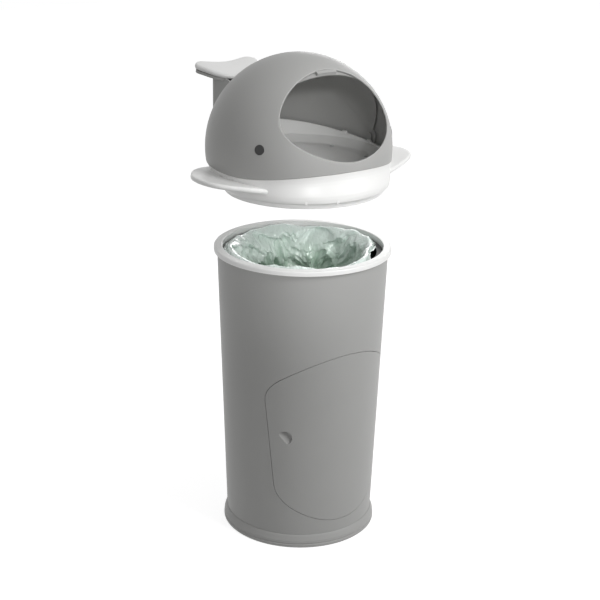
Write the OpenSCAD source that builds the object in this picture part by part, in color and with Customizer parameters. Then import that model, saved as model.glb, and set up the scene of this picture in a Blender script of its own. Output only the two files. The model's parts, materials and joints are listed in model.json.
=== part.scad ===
// Nappy bin shaped like a whale: a tapered round bin with an access door, a white
// collar that carries the bag ring, and a lift-off head with a turning visor, a
// drop funnel, two fins and a tail. The head is drawn lifted clear of the collar.
// X runs to the whale's left, Y to its back, Z up; the origin is under the bin's axis.

/* [Body] */
// Outer radius of the shell at its top edge
body_top_r = 140.5; // [130:0.5:150]
// Outer radius of the shell at its bottom edge
body_bottom_r = 124; // [116:0.5:132]
// Height of the shell's bottom edge above the floor
shell_z = 8; // [6:0.5:12]
// Height of the shell's top edge above the floor
shell_top_z = 484; // [440:1:540]
// Wall of the shell and of the door
wall = 2.5; // [2:0.1:3]

/* [Foot] */
// How far the flared foot stands out past the shell's bottom edge
foot_flare = 5.8; // [4:0.1:10]
// Height of the foot's flare
foot_h = 22; // [18:0.5:28]
// Width of the foot's ledge inside the shell's bottom edge
foot_ledge = 16; // [14:0.5:24]
// Thickness of the base plate
base_t = 3; // [2:0.1:4]
// Radius of the base screws' heads
base_screw_r = 4; // [3:0.1:5]

/* [Collar and bag ring] */
// How far the collar stands out past the shell's top edge
collar_lip = 5.5; // [2.5:0.1:8]
// Width of the collar's top
collar_w = 14; // [12:0.5:16]
// Height of the collar above the shell's edge
collar_cap = 8; // [6:0.5:10]
// Depth of the collar below the shell's edge, inside it
collar_depth = 13; // [11:0.5:18]
// Depth of the ledge that carries the bag ring, below the shell's edge
ledge_drop = 8; // [6:0.5:9]
// Radius of the rounding on the collar's outer edge
collar_round = 3; // [1:0.1:3.5]
// Width of the bag ring
bag_ring_w = 11; // [9:0.5:14]
// Height of the bag ring
bag_ring_h = 6.2; // [4:0.1:6.4]
// Thickness of the bag's film and folds
film = 0.8; // [0.5:0.1:1]
// Gap between the hanging bag and the hinge arms
bag_gap = 1; // [0.5:0.1:10]
// Height of the bag's bottom above the floor
bag_z = 40; // [30:1:80]

/* [Door] */
// Half width of the door seen from the front, as a share of the shell's radius there
door_w_share = 0.872; // [0.8:0.001:0.89]
// Height above the floor of the door's top edge
door_top_z = 342.5; // [320:0.5:360]
// Height above the floor of the door's bottom edge
door_bottom_z = 42.8; // [36:0.1:60]
// Radius of the arched top edge
door_top_r = 152.7; // [145:0.1:180]
// Radius of the arched bottom edge
door_bottom_r = 134; // [128:0.5:160]
// Radius of the door's upper corners
door_top_corner_r = 52; // [40:0.5:56]
// Radius of the door's lower corners
door_bottom_corner_r = 62; // [50:0.5:66]
// Lean of the door's sides from the vertical
door_lean = 4.6; // [4:0.1:5.4]
// Gap round the door
door_gap = 0.8; // [0.6:0.05:1.2]
// Radius of the thumb scoop
scoop_r = 11.5; // [9:0.1:13]
// Depth of the thumb scoop at its deep side
scoop_depth = 6; // [4:0.1:8]
// Gap between the hinge eyes and the shell's inner wall
hinge_gap = 1.37; // [1:0.01:2]
// Radius of the two hinge pins
hinge_pin_r = 2.5; // [2:0.1:2.8]
// Inner radius of the curved hinge arms
hinge_arm_r = 31; // [30:0.1:32]
// Thickness of the hinge arms
hinge_arm_t = 5; // [4:0.1:6]

/* [Head] */
// Height that the head is lifted clear of its seat
lift = 103; // [95:1:125]
// How much larger the dome's radius is than that of the shell's top edge
dome_overhang = 10.5; // [8:0.5:13]
// Height of the dome's centre above the head's shoulder
dome_rise = 57; // [54:0.5:60]
// How far the dome's centre lies behind the bin's axis
head_back = 16; // [12:0.5:18]
// Wall of the dome and the tray
shell_t = 2.8; // [2.4:0.1:3]
// Gap between the head's skirt and the collar it enters
skirt_gap = 3; // [2:0.1:6]
// Depth of the skirt below the head's shoulder
skirt_h = 8; // [6:0.1:8.2]
// Height of the dome's lower edge above the shoulder, at the sides
seam_h = 33.5; // [31:0.5:36]
// Further rise of that edge at the front
seam_front_rise = 14.5; // [10:0.5:16]
// Further rise of that edge at the back
seam_back_rise = 8; // [4:0.5:10]
// Width of the tray's floor inside the skirt
tray_floor_w = 34; // [30:0.5:36]

/* [Mouth and visor] */
// Elevation of the mouth's axis
mouth_tilt = 35; // [32:1:38]
// Half width of the mouth, as a share of the dome's radius
mouth_w_share = 0.657; // [0.6:0.001:0.67]
// Half height of the mouth, as a share of the dome's radius
mouth_h_share = 0.5046; // [0.46:0.0001:0.51]
// How far the mouth's middle lies below its axis
mouth_sink = 4.4; // [3:0.1:6]
// Elevation of the open visor's front edge
visor_front_angle = 60.3; // [59.5:0.1:61]
// Angle that the visor covers
visor_span_angle = 72; // [68:1:76]
// Thickness of the visor
visor_t = 2; // [1.6:0.1:2.2]
// Running gap between the dome and the visor
visor_gap = 1; // [0.8:0.1:1.2]
// Radius of the visor's pivots
visor_pin_r = 4; // [3:0.1:5]
// Radius of the visor's ears round the pivots
visor_ear_r = 15; // [12:0.5:16]
// Half width of the visor's finger tab
tab_half_w = 18; // [14:0.5:22]

/* [Eyes, fins and tail] */
// Radius of an eye
eye_r = 8; // [6:0.1:10]
// How far a fin's tip stands out past the shell's top edge
fin_len = 61.5; // [54:0.5:68]
// Forward end of a fin's root
fin_front = 73; // [68:1:78]
// Rear end of a fin
fin_rear = 110; // [104:1:114]
// Height of a fin's underside above the shoulder, at its root
fin_h = 17; // [15:0.5:19]
// Thickness of a fin
fin_t = 8.5; // [6:0.1:9]
// Rise of a fin toward its tip
fin_lift_angle = 9; // [7:0.5:11]
// Half width of the tail's fluke
fluke_half_w = 61.5; // [56:0.5:68]
// Length of the fluke from front to back
fluke_len = 77; // [70:0.5:84]
// How far the fluke's front lies behind the dome's rear
fluke_gap = 7; // [4:0.5:12]
// Height of the fluke's top above the shoulder, at its middle
fluke_h = 155; // [148:1:158]
// Rise of the fluke toward its back
fluke_tilt = 11.3; // [8:0.1:14]
// Thickness of the white fluke cover
fluke_cover_t = 8; // [6:0.1:9]
// Half width of the tail's stem
stem_half_w = 32; // [26:0.5:34]
// Radius of the stem's upright rear corners
stem_corner_r = 12; // [8:0.5:16]

/* [Funnel and flap] */
// Gap between the funnel's rim and the visor that turns round it
funnel_gap = 3.7; // [2:0.1:6]
// Inner radius of the funnel's throat
throat_r = 68; // [62:0.5:69]
// Wall of the funnel
funnel_t = 2.2; // [1.8:0.1:2.4]
// Height of the funnel's flat step above the shoulder
funnel_step_h = 35; // [34:0.5:36]
// Thickness of the flap
flap_t = 2.4; // [2:0.1:2.8]
// Radius of the flap's hinge pin
flap_pin_r = 2; // [1.6:0.1:2.4]

/* [Hidden] */
grey = "#9a9a98";
white = "#f2f2f1";
pale_grey = "#d4d4d2";
black = "#242424";
dark_grey = "#4a4a4a";
bag_green = "#bfe3cf";
steel = "#b9bbbd";
$fn = 96;
// Small gap left between pieces that lie face to face
slack = 0.06 * wall;
// Overrun of every cut
over = 0.4 * wall;

// Radii that follow from the shell's
foot_r = body_bottom_r + foot_flare;
foot_in_r = body_bottom_r - foot_ledge;
base_screw_ring_r = foot_in_r + 0.375 * foot_ledge;
collar_r = body_top_r + collar_lip;
collar_in_r = collar_r - collar_w;
bag_ring_in_r = collar_in_r - bag_ring_w;
skirt_r = collar_in_r - skirt_gap;
tray_floor_r = skirt_r - tray_floor_w;
dome_r = body_top_r + dome_overhang;
inner_r = dome_r - shell_t;
visor_out_r = inner_r - visor_gap;
funnel_r = visor_out_r - visor_t - funnel_gap;
funnel_screw_ring_r = 0.785 * funnel_r;
fluke_front = head_back + dome_r + fluke_gap;
fluke_back = fluke_front + fluke_len;
// Long enough to pass right through the part
far = 2 * dome_r;

// Heights that several pieces share
collar_top_z = shell_top_z + collar_cap;
shoulder_z = collar_top_z + lift;
ledge_z = shell_top_z - ledge_drop;
dome_z = shoulder_z + dome_rise;

// Outer radius of the shell at height z
function shell_r(z) =
    body_bottom_r + (body_top_r - body_bottom_r) * (z - shell_z) / (shell_top_z - shell_z);

// Points of an arc from angle a to angle b
function arc(c, r, a, b, n) =
    [for (i = [0:n]) let (t = a + (b - a) * i / n) [c[0] + r * cos(t), c[1] + r * sin(t)]];

// A smooth line through points, n steps from each to the next
function smooth_line(p, n) = [
    for (i = [0:len(p) - 2], k = [0:n - 1])
        let (
            t = k / n,
            a = p[max(i - 1, 0)],
            b = p[i],
            c = p[i + 1],
            d = p[min(i + 2, len(p) - 1)]
        )
        b + t * (c - a) / 2 + t * t * (2 * a - 5 * b + 4 * c - d) / 2
            + t * t * t * (3 * b - a - 3 * c + d) / 2,
    p[len(p) - 1]
];

// The solid inside the shell's outer cone, drawn in by inset
module cone_solid(inset, z0, z1) {
    rotate_extrude()
        polygon([[0, z0], [shell_r(z0) - inset, z0], [shell_r(z1) - inset, z1], [0, z1]]);
}

// A piece of a layer that follows the shell; angles count from the front to the left side
module wall_sector(outer_inset, inner_inset, a0, a1, z0, z1) {
    rotate([0, 0, a0 - 90])
        rotate_extrude(angle = a1 - a0)
            polygon([
                [shell_r(z0) - inner_inset, z0],
                [shell_r(z0) - outer_inset, z0],
                [shell_r(z1) - outer_inset, z1],
                [shell_r(z1) - inner_inset, z1]
            ]);
}

// Door outline: two arches, leaning sides and round corners, seen from the front
door_wide_share = 0.7415;
door_wide_z = door_bottom_z + door_wide_share * (door_top_z - door_bottom_z);
door_half_w = door_w_share * shell_r(door_wide_z);
door_top_c = [0, door_top_z - door_top_r];
door_bottom_c = [0, door_bottom_z + door_bottom_r];
side_dir = [sin(door_lean), cos(door_lean)];
side_in = [-cos(door_lean), sin(door_lean)];
side_pt = [door_half_w, door_wide_z];
// Centre of the corner between the side and an arch: s is 1 at the top, -1 at the bottom
function corner_c(c, r, corner_r, s) =
    let (
        q = side_pt + corner_r * side_in - c,
        b = q * side_dir,
        t = -b + s * sqrt(b * b - q * q + pow(r - corner_r, 2))
    )
    c + q + t * side_dir;
top_corner = corner_c(door_top_c, door_top_r, door_top_corner_r, 1);
bottom_corner = corner_c(door_bottom_c, door_bottom_r, door_bottom_corner_r, -1);
top_turn = atan2(top_corner[1] - door_top_c[1], top_corner[0] - door_top_c[0]);
bottom_turn = atan2(bottom_corner[1] - door_bottom_c[1], bottom_corner[0] - door_bottom_c[0]);
// Each row is a point of the outline and the direction it faces
door_rows = [
    for (a = [90:(top_turn - 90) / 10:top_turn + 0.01])
        [door_top_c + door_top_r * [cos(a), sin(a)], a],
    for (i = [1:6])
        let (a = top_turn + (-door_lean - top_turn) * i / 6)
        [top_corner + door_top_corner_r * [cos(a), sin(a)], a],
    for (i = [1:5])
        let (a = -door_lean, t = i / 6)
        [
            (1 - t) * (top_corner + door_top_corner_r * [cos(a), sin(a)])
                + t * (bottom_corner + door_bottom_corner_r * [cos(a), sin(a)]),
            a
        ],
    for (i = [0:6])
        let (a = -door_lean + (bottom_turn + door_lean) * i / 6)
        [bottom_corner + door_bottom_corner_r * [cos(a), sin(a)], a],
    for (i = [1:10])
        let (a = bottom_turn + (-90 - bottom_turn) * i / 10)
        [door_bottom_c + door_bottom_r * [cos(a), sin(a)], a]
];
hinge_cut_angle = 102;
free_cut_angle = -58;
door_loop = concat(
    [for (row = door_rows) [row[0], row[1], 1]],
    [for (i = [len(door_rows) - 2:-1:1]) [door_rows[i][0], door_rows[i][1], -1]]
);

// A point of the outline on the shell, moved along its level cut direction by reach; side is
// 1 at the hinge and -1 at the free edge, and the cut turns from radial to slanted there
function door_cut_point(row, inset, reach) =
    let (
        side = row[2],
        r = shell_r(row[0][1]),
        depth = sqrt(r * r - row[0][0] * row[0][0]),
        x = side * (row[0][0] - inset * cos(row[1]) * depth / r),
        z = row[0][1] - inset * sin(row[1]),
        radial = asin(x / shell_r(z)),
        slanted = side > 0 ? hinge_cut_angle : free_cut_angle,
        turn = radial + pow(cos(row[1]), 2) * (slanted - radial)
    )
    [
        x + reach * sin(turn),
        -sqrt(pow(shell_r(z), 2) - x * x) - reach * cos(turn),
        z
    ];

// Cutter for the doorway, and for the door itself when inset by the gap
module door_prism(inset) {
    n = len(door_loop);
    outer = [for (row = door_loop) door_cut_point(row, inset, 2 * wall)];
    inner = [for (row = door_loop) door_cut_point(row, inset, -2.4 * wall)];
    polyhedron(
        points = concat(outer, inner, [[0, -2 * body_bottom_r, door_wide_z],
            [0, -body_bottom_r / 3, door_wide_z]]),
        faces = [
            for (i = [0:n - 1])
                let (j = (i + 1) % n)
                each [[j, i, i + n], [j, i + n, j + n], [i, j, 2 * n], [j + n, i + n, 2 * n + 1]]
        ]
    );
}

// Places on the wall: hinges at the left, catch at the right
hinge_angle = 69;
hinge_pad_angles = [38, 55];
hinge_zs = [for (s = [0.41, 0.742]) door_bottom_z + s * (door_top_z - door_bottom_z)];
eye_wall = 0.84 * wall;
hinge_axis_r = shell_r(hinge_zs[0]) - wall - hinge_gap - eye_wall - hinge_pin_r;
bag_r = hinge_axis_r - hinge_arm_r - hinge_arm_t - bag_gap;
hinge_x = hinge_axis_r * sin(hinge_angle);
hinge_y = -hinge_axis_r * cos(hinge_angle);
ear_t = hinge_arm_t;
ear_gap = 2 * slack;
catch_z = door_bottom_z + 0.36 * (door_top_z - door_bottom_z);
catch_angle = -50;
disc_t = 0.6 * wall;
magnet_t = 1.2 * wall;
catch_r = 2.2 * wall;

module bin_shell() {
    color(grey)
    difference() {
        rotate_extrude()
            polygon([
                [shell_r(shell_z) - wall, shell_z],
                [shell_r(shell_z), shell_z],
                [shell_r(shell_top_z), shell_top_z],
                [shell_r(shell_top_z) - wall, shell_top_z]
            ]);
        door_prism(0);
    }
}

// Foot ring: flared outside, with a ledge inside that carries the shell and the base plate
module foot_ring() {
    lip = 0.04 * foot_h;
    color(grey)
    difference() {
        rotate_extrude()
            polygon([
                [foot_in_r, 0],
                [foot_r - 1.4 * lip, 0],
                [foot_r, 1.4 * lip],
                [foot_r, 5.6 * lip],
                [foot_r - 1.4 * lip, 6.8 * lip],
                [foot_r - 1.4 * lip, 7.8 * lip],
                [foot_r - 0.5 * lip, 9 * lip],
                [foot_r - lip, 13.5 * lip],
                [foot_r - 4 * lip, 22 * lip],
                [shell_r(foot_h) + 2 * slack, foot_h],
                [shell_r(shell_z) + 2 * slack, shell_z],
                [foot_in_r, shell_z]
            ]);
        for (a = [45:90:315])
            rotate([0, 0, a])
                translate([base_screw_ring_r, 0, 0]) {
                    translate([0, 0, -over])
                        cylinder(r = base_screw_r + slack, h = over + 0.4 * shell_z);
                    cylinder(r = 0.5 * base_screw_r + slack, h = 2 * shell_z);
                }
    }
}

// Pan-shaped base: its floor lies level with the foot, its flange rests on the foot's ledge
module base_plate() {
    color(grey)
    difference() {
        rotate_extrude()
            polygon([
                [0, 0],
                [foot_in_r - 2 * slack, 0],
                [foot_in_r - 2 * slack, shell_z],
                [shell_r(shell_z) - wall - 2 * slack, shell_z],
                [shell_r(shell_z) - wall - 2 * slack, shell_z + base_t],
                [foot_in_r - base_t, shell_z + base_t],
                [foot_in_r - base_t, base_t],
                [0, base_t]
            ]);
        for (a = [45:90:315])
            rotate([0, 0, a])
                translate([base_screw_ring_r, 0, shell_z - over])
                    cylinder(r = 0.5 * base_screw_r, h = 2 * base_t + over);
    }
}

module base_screws() {
    color(steel)
    for (a = [45:90:315])
        rotate([0, 0, a])
            translate([base_screw_ring_r, 0, 0.1 * shell_z]) {
                difference() {
                    cylinder(r = base_screw_r, h = 0.3 * shell_z);
                    translate([0, 0, -over])
                        cylinder(r = 0.4 * base_screw_r, h = over + 0.15 * shell_z, $fn = 6);
                }
                cylinder(r = 0.5 * base_screw_r - slack / 2, h = 0.85 * shell_z + base_t);
            }
}

// White collar: caps the shell's edge and carries the bag ring on an inner ledge
module collar() {
    in_round = collar_round / 2;
    skirt_t = 1.2 * wall;
    shell_in_r = shell_r(ledge_z) - wall - 2 * slack;
    bottom_z = shell_top_z - collar_depth;
    color(white)
    difference() {
        rotate_extrude()
            polygon(concat(
                [[collar_r, shell_top_z - slack]],
                arc([collar_r - collar_round, collar_top_z - collar_round], collar_round, 0, 90, 6),
                arc([collar_in_r + in_round, collar_top_z - in_round], in_round, 90, 180, 5),
                [
                    [collar_in_r, ledge_z],
                    [bag_ring_in_r + 1.2 * wall, ledge_z],
                    [bag_ring_in_r + 1.2 * wall, ledge_z - wall],
                    [shell_in_r - skirt_t, ledge_z - wall],
                    [shell_in_r - skirt_t, bottom_z],
                    [shell_in_r, bottom_z],
                    [shell_in_r, shell_top_z + slack],
                    [body_top_r + 2 * slack, shell_top_z + slack],
                    [body_top_r + 2 * slack, shell_top_z - slack]
                ]
            ));
        for (a = [24, 68])
            rotate([0, 0, a])
                translate([collar_in_r, 0, ledge_z + bag_ring_h])
                    cube([wall, 8 * wall, 2 * wall], center = true);
    }
}

module bag_ring() {
    r0 = bag_ring_in_r;
    r1 = collar_in_r - 2 * slack;
    z0 = ledge_z + slack;
    z1 = ledge_z + slack + bag_ring_h;
    b = 0.16 * bag_ring_h;
    color(black)
    rotate_extrude()
        polygon([
            [r0, z0], [r1, z0], [r1, z1 - b], [r1 - b, z1], [r0 + b, z1], [r0, z1 - b]
        ]);
}

// Bag of thin film: folded over the bag ring, hanging as a tapered tube with a closed end
module liner_bag() {
    r0 = bag_ring_in_r - slack / 2;
    z1 = ledge_z + slack + bag_ring_h;
    fold_r = bag_ring_in_r + 0.78 * (collar_in_r - bag_ring_in_r);
    neck_z = 0.58 * shell_top_z;
    side = smooth_line([
        [r0, ledge_z],
        [0.97 * r0, 0.9 * ledge_z],
        [bag_r + 0.3 * (r0 - bag_r), 0.5 * (ledge_z + neck_z)],
        [bag_r, neck_z],
        [bag_r, 3 * bag_z],
        [0.9 * bag_r, 1.4 * bag_z],
        [0.6 * bag_r, bag_z]
    ], 3);
    outer = concat([[r0, z1 + slack / 2]], side, [[0, bag_z]]);
    inner = [
        for (p = side) if (p[1] > 1.4 * bag_z) [p[0] - film, p[1]],
        [0.6 * bag_r - film, bag_z + film],
        [0, bag_z + film]
    ];
    color(bag_green)
    rotate_extrude()
        polygon(concat(
            [[fold_r, z1 + slack / 2], [fold_r, z1 + film], [r0 - film, z1 + film]],
            inner,
            [for (i = [len(outer) - 1:-1:0]) outer[i]]
        ));
}

// Door: a piece of the shell's wall with a thumb scoop let into a boss behind it
module door_panel() {
    scoop_angle = -45.4;
    scoop_z = door_bottom_z + 0.528 * (door_top_z - door_bottom_z);
    r = shell_r(scoop_z);
    color(grey)
    difference() {
        union() {
            intersection() {
                rotate_extrude()
                    polygon([
                        [shell_r(0) - wall, 0],
                        [shell_r(0), 0],
                        [shell_r(door_top_z), door_top_z],
                        [shell_r(door_top_z) - wall, door_top_z]
                    ]);
                door_prism(door_gap);
            }
            intersection() {
                cone_solid(wall / 2, scoop_z - 2 * scoop_r, scoop_z + 2 * scoop_r);
                rotate([0, 0, scoop_angle])
                    translate([0, -r + scoop_depth + wall, scoop_z])
                        rotate([90, 0, 0])
                            cylinder(r = scoop_r + wall, h = 2 * scoop_depth);
            }
        }
        rotate([0, 0, scoop_angle])
            translate([0, -r, scoop_z])
                rotate([90, 0, 0])
                    intersection() {
                        translate([0, 0, -scoop_depth])
                            cylinder(r = scoop_r, h = 2 * scoop_depth);
                        rotate([-18, 22, 0])
                            translate([-far, -far, -0.45 * scoop_depth])
                                cube([2 * far, 2 * far, far]);
                    }
    }
}

// Curved arms on the door that reach round the shell's edge to the hinge pins
module hinge_arms() {
    arm_w = hinge_arm_t;
    color(grey)
    for (z = hinge_zs) {
        difference() {
            union() {
                intersection() {
                    translate([hinge_x, hinge_y, z - hinge_arm_t / 2])
                        rotate([0, 0, 148])
                            rotate_extrude(angle = 134)
                                translate([hinge_arm_r, 0])
                                    square([arm_w, hinge_arm_t]);
                    cone_solid(1.6 * wall, z - hinge_arm_t, z + hinge_arm_t);
                }
                translate([hinge_x, hinge_y, z - hinge_arm_t / 2]) {
                    rotate([0, 0, 150])
                        translate([0, -arm_w / 2, 0])
                            cube([hinge_arm_r + arm_w / 2, arm_w, hinge_arm_t]);
                    cylinder(r = hinge_pin_r + eye_wall, h = hinge_arm_t);
                }
            }
            translate([hinge_x, hinge_y, z - hinge_arm_t])
                cylinder(r = hinge_pin_r + slack / 2, h = 2 * hinge_arm_t);
        }
        wall_sector(wall + slack, 2 * wall, hinge_pad_angles[0], hinge_pad_angles[1],
            z - 2 * hinge_arm_t, z + 2 * hinge_arm_t);
    }
}

// Two ears above and below each arm, on a strip along the shell's inner wall
module hinge_brackets() {
    color(grey)
    for (z = hinge_zs) {
        difference() {
            union() {
                for (s = [-1, 1])
                    intersection() {
                        translate([0, 0, z + s * (hinge_arm_t / 2 + ear_gap + ear_t / 2) - ear_t / 2])
                            linear_extrude(ear_t) {
                                translate([hinge_x, hinge_y])
                                    circle(r = hinge_pin_r + eye_wall);
                                polygon([
                                    [hinge_x, hinge_y] + (hinge_pin_r + eye_wall) * [-sin(21), -cos(21)],
                                    (hinge_axis_r + far / 2) * [sin(hinge_angle - 2), -cos(hinge_angle - 2)],
                                    (hinge_axis_r + far / 2) * [sin(hinge_angle + 12), -cos(hinge_angle + 12)],
                                    hinge_axis_r * [sin(hinge_angle + 10), -cos(hinge_angle + 10)],
                                    [hinge_x, hinge_y] + (hinge_pin_r + eye_wall) * [-sin(21), cos(21)]
                                ]);
                            }
                        cone_solid(wall + slack, z - 4 * hinge_arm_t, z + 4 * hinge_arm_t);
                    }
                wall_sector(wall + slack, 2 * wall, hinge_angle + 5, hinge_angle + 12,
                    z - 3.4 * hinge_arm_t, z + 3.4 * hinge_arm_t);
            }
            translate([hinge_x, hinge_y, z - 2 * hinge_arm_t])
                cylinder(r = hinge_pin_r + slack / 2, h = 4 * hinge_arm_t);
        }
    }
}

module hinge_pins() {
    color(steel)
    for (z = hinge_zs)
        translate([hinge_x, hinge_y, z - 1.6 * hinge_arm_t]) {
            cylinder(r = hinge_pin_r, h = 3.3 * hinge_arm_t);
            translate([0, 0, 3.3 * hinge_arm_t])
                cylinder(r = hinge_pin_r + eye_wall / 2, h = disc_t);
        }
}

// Catch: a bracket on the shell holds a magnet that meets a steel disc on the door
module catch_bracket() {
    color(grey)
    union() {
        wall_sector(wall + slack, wall + disc_t + magnet_t + wall, catch_angle - 20, catch_angle - 13,
            catch_z - 2 * catch_r, catch_z + 2 * catch_r);
        wall_sector(wall + disc_t + magnet_t + slack, wall + disc_t + magnet_t + wall,
            catch_angle - 20, catch_angle + 4, catch_z - 1.4 * catch_r, catch_z + 1.4 * catch_r);
    }
}

module catch_round(outer_inset, inner_inset) {
    intersection() {
        wall_sector(outer_inset, inner_inset, catch_angle - 8, catch_angle + 8,
            catch_z - 2 * catch_r, catch_z + 2 * catch_r);
        rotate([0, 0, catch_angle])
            translate([0, 0, catch_z])
                rotate([90, 0, 0])
                    cylinder(r = catch_r, h = far);
    }
}

module catch_magnet() {
    color(dark_grey)
    catch_round(wall + disc_t + 2 * slack, wall + disc_t + magnet_t);
}

module catch_disc() {
    color(steel)
    catch_round(wall + slack, wall + disc_t);
}

// Height of the line between the dome and the tray, y behind the bin's axis
seam_turn_y = -0.13 * dome_r;
seam_front_y = head_back - dome_r;
seam_back_y = head_back + dome_r;
function seam_z(y) = shoulder_z + seam_h + (y < seam_turn_y
    ? seam_front_rise * pow((seam_turn_y - y) / (seam_turn_y - seam_front_y), 1.7)
    : seam_back_rise * pow((y - seam_turn_y) / (seam_back_y - seam_turn_y), 1.6));

// Everything below the seam, lowered by drop
module seam_prism(drop) {
    ys = [for (i = [0:20]) seam_front_y - over + (2 * dome_r + 2 * over) * i / 20];
    translate([-far, 0, 0])
        rotate([90, 0, 90])
            linear_extrude(2 * far)
                polygon(concat(
                    [for (y = ys) [y, seam_z(y) - drop]],
                    [[ys[20], shoulder_z - far], [ys[0], shoulder_z - far]]
                ));
}

// Radius of the dome's outside at height z
function dome_ring_r(z) = sqrt(dome_r * dome_r - (z - dome_z) * (z - dome_z));

// Tray wall: shares of the way from the shoulder ring out to the dome, and up
tray_r_shares = [0, 0.24, 0.4, 0.56, 0.75, 1];
tray_z_shares = [0, 0.2, 0.4, 0.6, 0.8, 1];
tray_z0 = shoulder_z + 1.1 * shell_t;
tray_r0 = skirt_r + 3 * shell_t;
function eased(t) = t * t * (3 - 2 * t);

// Points round the tray's wall at step k, drawn in by inset: round the dome's axis higher up
function tray_point(a, k, inset) =
    let (
        r_seam = dome_ring_r(seam_z(head_back + dome_r * sin(a))),
        r_top = r_seam - 2 * slack,
        z_top = seam_z(head_back + (r_top - inset) * sin(a)) - 2 * slack,
        r = tray_r0 + (r_top - tray_r0) * tray_r_shares[k] - inset,
        z = tray_z0 + (z_top - tray_z0) * tray_z_shares[k],
        back = head_back * eased(tray_z_shares[k])
    )
    [r * cos(a), back + r * sin(a), z];
function ring_point(a, r, z) = [r * cos(a), r * sin(a), z];
tray_floor_z = tray_z0 + shell_t;

function tray_section(a) = [
    ring_point(a, skirt_r - 0.3 * shell_t, shoulder_z - skirt_h),
    ring_point(a, skirt_r, shoulder_z - skirt_h + 0.3 * shell_t),
    ring_point(a, skirt_r, shoulder_z),
    ring_point(a, skirt_r + 2 * shell_t, shoulder_z),
    for (k = [0:5]) tray_point(a, k, 0),
    for (k = [5:-1:2]) tray_point(a, k, shell_t),
    tray_point(a, 1, shell_t),
    ring_point(a, tray_r0 - shell_t, tray_floor_z),
    ring_point(a, tray_floor_r, tray_floor_z),
    ring_point(a, tray_floor_r, tray_z0),
    ring_point(a, skirt_r - shell_t, tray_z0),
    ring_point(a, skirt_r - shell_t, shoulder_z - skirt_h)
];

post_places = [for (sx = [-1, 1], sy = [-1, 1]) [sx * cos(25), sy * sin(25)] * funnel_screw_ring_r
    + [0, head_back]];
post_r = 1.8 * shell_t;
post_top_z = shoulder_z + funnel_step_h - funnel_t - 2 * slack;
fin_screw_places = [for (sx = [-1, 1], sy = [-1, 1]) [sx, sy]];
fin_axis_y = 0.68 * head_back;
fin_wall_r = tray_r0 + 0.59 * (dome_ring_r(shoulder_z + seam_h) - tray_r0);
fin_screw_z = shoulder_z + fin_h + 0.6 * fin_t;
fin_screw_r = 0.2 * fin_t;
fin_screw_y = 0.27 * fin_wall_r;
fin_screw_x = sqrt(fin_wall_r * fin_wall_r - fin_screw_y * fin_screw_y);

// A ring through closed sections that stand side by side round an axis
module section_ring(rows) {
    n = len(rows);
    m = len(rows[0]);
    points = [for (row = rows) each row];
    faces = [
        for (i = [0:n - 1], j = [0:m - 1])
            let (a = i * m, b = ((i + 1) % n) * m, k = (j + 1) % m)
            each [[a + j, b + k, b + j], [a + j, a + k, b + k]]
    ];
    polyhedron(points = points, faces = faces);
}
tray_sides = 72;

// Everything inside the tray's outer wall, grown by a gap: what a fin's root is cut with
module tray_wall_ring(gap) {
    core_r = tray_r0 / 2;
    section_ring([
        for (i = [0:tray_sides - 1])
            let (a = 360 * i / tray_sides, top = tray_point(a, 5, -gap))
            concat(
                [ring_point(a, core_r, tray_z0)],
                [for (k = [0:5]) tray_point(a, k, -gap)],
                [ring_point(a, core_r, top[2])]
            )
    ]);
}

// White tray under the dome: skirt, shoulder, floor and a wall that leans back
module head_tray() {
    notch_w = 32 * flap_pin_r;
    notch_front_y = 0.9 * tray_floor_r;
    color(white)
    difference() {
        union() {
            section_ring([for (i = [0:tray_sides - 1]) tray_section(360 * i / tray_sides)]);
            for (p = post_places)
                translate([p[0], p[1], tray_floor_z - shell_t / 2])
                    cylinder(r = post_r, h = post_top_z - tray_floor_z + shell_t / 2, $fn = 32);
        }
        for (p = post_places)
            translate([p[0], p[1], tray_floor_z])
                cylinder(r = post_r / 3, h = far, $fn = 24);
        for (p = fin_screw_places)
            translate([p[0] * fin_screw_x, fin_axis_y + p[1] * fin_screw_y, fin_screw_z])
                rotate([0, 90, 0])
                    cylinder(r = fin_screw_r + slack, h = 4 * shell_t, $fn = 24, center = true);
        translate([-notch_w / 2, notch_front_y, tray_z0 - over])
            cube([notch_w, flap_axis_y + 2 * flap_pin_r - notch_front_y, shell_t + 2 * over]);
    }
}

// A screw, head first, along +Z
module screw(r, head_r, head_h, length) {
    difference() {
        cylinder(r = head_r, h = head_h);
        translate([0, 0, -over])
            cylinder(r = 0.45 * head_r, h = over + 0.5 * head_h, $fn = 6);
    }
    cylinder(r = r, h = length);
}

// Funnel inside the head: upright rim, sloped wall, flat step, and a throat with a lip
funnel_step_z = shoulder_z + funnel_step_h;
throat_z = funnel_step_z - 5 * funnel_t;
lip_z = funnel_step_z - 7.8 * funnel_t;
function rim_z(y) = shoulder_z + 1.45 * seam_h
    + (y > seam_turn_y ? 0.128 * dome_r * pow((y - seam_turn_y) / dome_r, 2) : 0);

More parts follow.
